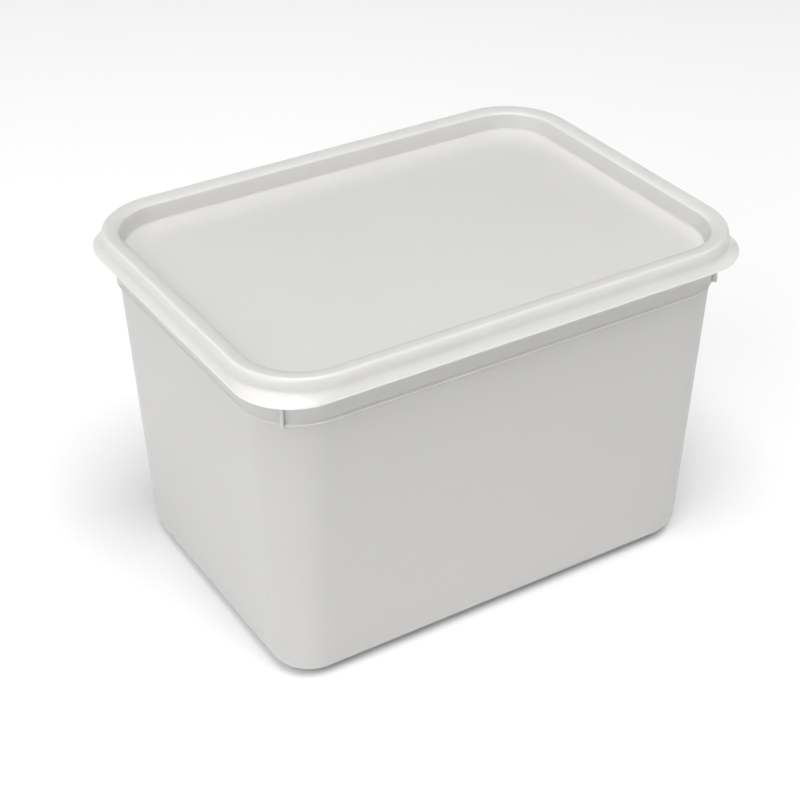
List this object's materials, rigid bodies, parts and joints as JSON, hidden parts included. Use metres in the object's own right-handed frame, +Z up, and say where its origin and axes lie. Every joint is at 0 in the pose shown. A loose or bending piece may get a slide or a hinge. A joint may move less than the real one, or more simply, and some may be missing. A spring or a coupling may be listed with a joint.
{
  "type": "ice cream tub",
  "caption": "Rectangular white plastic ice cream tub with drafted walls and a press-on lid that has a sunken panel, a round bead and a flared skirt.",
  "frame": {"origin": "middle of the flat base, on the surface that the tub stands on", "axes": "+Z up, +X along the tub's long side, +Y across its short side"},
  "size_m": [0.23, 0.1688, 0.1526],
  "materials": {
    "tub_plastic": "satin white moulded polypropylene, slightly translucent",
    "lid_plastic": "semi-gloss white moulded polypropylene, slightly translucent"
  },
  "bodies": {
    "root": {"tub": "tub_plastic", "lid": "lid_plastic"}
  },
  "joints": []
}
